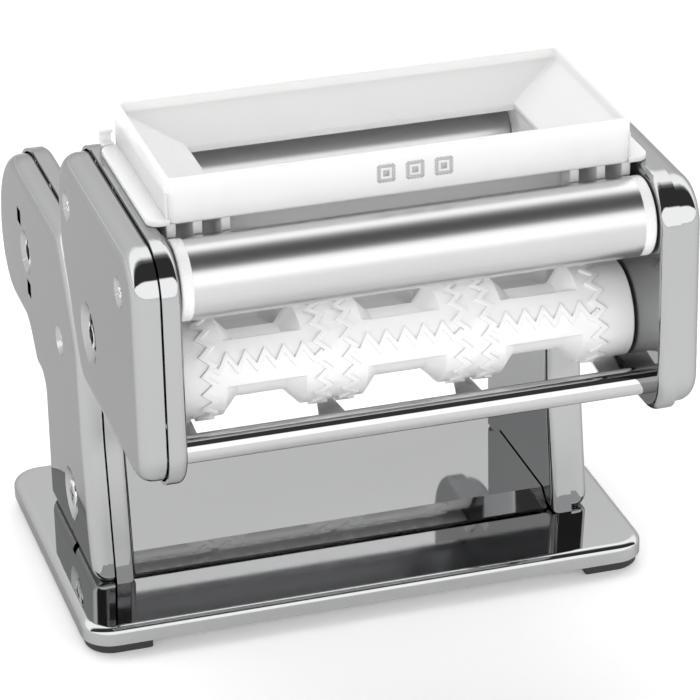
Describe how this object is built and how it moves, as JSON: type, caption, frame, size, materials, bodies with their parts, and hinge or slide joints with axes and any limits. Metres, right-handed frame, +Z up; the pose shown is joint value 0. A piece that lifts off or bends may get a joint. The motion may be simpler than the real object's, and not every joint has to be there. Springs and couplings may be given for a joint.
{
  "type": "pasta roller machine",
  "caption": "Hand-cranked dough sheeting machine on a flat base with a detachable ravioli moulding unit, filling tray and carrying rollers.",
  "frame": {"origin": "on the table under the middle of the base plate", "axes": "+X along the rollers to the knob side, -Y to the ravioli unit, +Z up"},
  "size_m": [0.2139, 0.2406, 0.193],
  "materials": {
    "chromed_sheet": "bright chromed pressed steel",
    "rod_chrome": "bright chromed rod",
    "screw_chrome": "plated screws",
    "satin_tube": "satin, brushed around",
    "sheeting_roller": "ground, satin",
    "shaft_steel": "turned steel",
    "strip_steel": "rolled strip",
    "gear_steel": "cut steel",
    "gear_nylon": "moulded",
    "bush_nylon": "moulded",
    "ring_plastic": "moulded white",
    "moulding_plastic": "moulded white, fine satin",
    "hopper_plastic": "moulded white, semi-gloss",
    "knob_plastic": "moulded dark",
    "dial_aluminium": "satin",
    "foot_rubber": "moulded black"
  },
  "bodies": {
    "machine": {"base_plate": "chromed_sheet", "foot_front_left": "foot_rubber", "foot_front_right": "foot_rubber", "foot_rear_left": "foot_rubber", "foot_rear_right": "foot_rubber", "leg_bracket_left": "strip_steel", "leg_bracket_right": "strip_steel", "base_screws": "screw_chrome", "machine_left_cap": "chromed_sheet", "machine_left_plate": "chromed_sheet", "machine_right_cap": "chromed_sheet", "machine_right_plate": "chromed_sheet", "driven_roller_bushes": "bush_nylon", "rear_scraper": "strip_steel", "front_scraper": "strip_steel", "machine_hanging_rod": "rod_chrome", "machine_lower_rod": "rod_chrome", "knob_dial": "dial_aluminium", "machine_cap_screws": "screw_chrome", "leg_bolts": "screw_chrome"},
    "bearing_blocks": {"eccentric_bushes": "bush_nylon"},
    "driven_roller": {"driven_sheeting_roller": "sheeting_roller", "driven_roller_gear": "gear_steel"},
    "adjustable_roller": {"adjustable_sheeting_roller": "sheeting_roller", "adjustable_roller_gear": "gear_steel"},
    "knob_stub": {"knob_hub": "shaft_steel"},
    "knob": {"thickness_knob": "knob_plastic"},
    "ravioli_unit": {"ravioli_left_cap": "chromed_sheet", "ravioli_left_plate": "chromed_sheet", "ravioli_right_cap": "chromed_sheet", "ravioli_right_plate": "chromed_sheet", "moulding_bushes": "bush_nylon", "front_carrying_axle": "shaft_steel", "rear_carrying_axle": "shaft_steel", "front_stripper_comb": "strip_steel", "rear_stripper_comb": "strip_steel", "unit_front_rod": "rod_chrome", "unit_rear_rod": "rod_chrome", "mounting_hooks": "strip_steel", "ravioli_cap_screws": "screw_chrome", "ravioli_cap_posts": "shaft_steel"},
    "rear_moulding": {"rear_moulding_roller": "moulding_plastic", "rear_moulding_shaft": "shaft_steel", "rear_moulding_gear": "gear_nylon"},
    "front_moulding": {"front_moulding_roller": "moulding_plastic", "front_moulding_shaft": "shaft_steel", "front_moulding_gear": "gear_nylon"},
    "front_carrying_roller": {"front_carrying_tube": "satin_tube", "front_left_ring": "ring_plastic", "front_right_ring": "ring_plastic"},
    "rear_carrying_roller": {"rear_carrying_tube": "satin_tube", "rear_left_ring": "ring_plastic", "rear_right_ring": "ring_plastic"},
    "hopper": {"filling_hopper": "hopper_plastic"}
  },
  "joints": [
    {"name": "unit_lift", "type": "slide", "parent": "machine", "child": "ravioli_unit", "axis": [0, 0, 1], "range_m": [0, 0.05]},
    {"name": "hopper_lift", "type": "slide", "parent": "ravioli_unit", "child": "hopper", "axis": [0, 0, 1], "range_m": [0, 0.05]},
    {"name": "rear_moulding_spin", "type": "hinge", "parent": "ravioli_unit", "child": "rear_moulding", "pos_m": [0, -0.0572, 0.1195], "axis": [1, 0, 0], "continuous": true},
    {"name": "front_moulding_spin", "type": "hinge", "parent": "ravioli_unit", "child": "front_moulding", "pos_m": [0, -0.0928, 0.1195], "axis": [1, 0, 0], "continuous": true},
    {"name": "front_carrying_spin", "type": "hinge", "parent": "ravioli_unit", "child": "front_carrying_roller", "pos_m": [0, -0.1152, 0.1621], "axis": [1, 0, 0], "continuous": true},
    {"name": "rear_carrying_spin", "type": "hinge", "parent": "ravioli_unit", "child": "rear_carrying_roller", "pos_m": [0, -0.0348, 0.1621], "axis": [1, 0, 0], "continuous": true},
    {"name": "driven_roller_spin", "type": "hinge", "parent": "machine", "child": "driven_roller", "pos_m": [0, 0.059, 0.1004], "axis": [1, 0, 0], "continuous": true},
    {"name": "roller_gap", "type": "slide", "parent": "machine", "child": "bearing_blocks", "axis": [0, -1, 0], "range_m": [0, 0.0028]},
    {"name": "adjustable_roller_spin", "type": "hinge", "parent": "bearing_blocks", "child": "adjustable_roller", "pos_m": [0, 0.03, 0.1004], "axis": [1, 0, 0], "continuous": true},
    {"name": "knob_turn", "type": "hinge", "parent": "machine", "child": "knob_stub", "pos_m": [0.095, 0.03, 0.1004], "axis": [1, 0, 0], "range_deg": [0, 270]},
    {"name": "knob_pull", "type": "slide", "parent": "knob_stub", "child": "knob", "axis": [1, 0, 0], "range_m": [0, 0.004]}
  ],
  "couplings": [
    {"joint": "front_moulding_spin", "follows": "rear_moulding_spin", "ratio": -1},
    {"joint": "adjustable_roller_spin", "follows": "driven_roller_spin", "ratio": -1},
    {"joint": "knob_turn", "follows": "roller_gap", "rad_per_m": 1683}
  ]
}
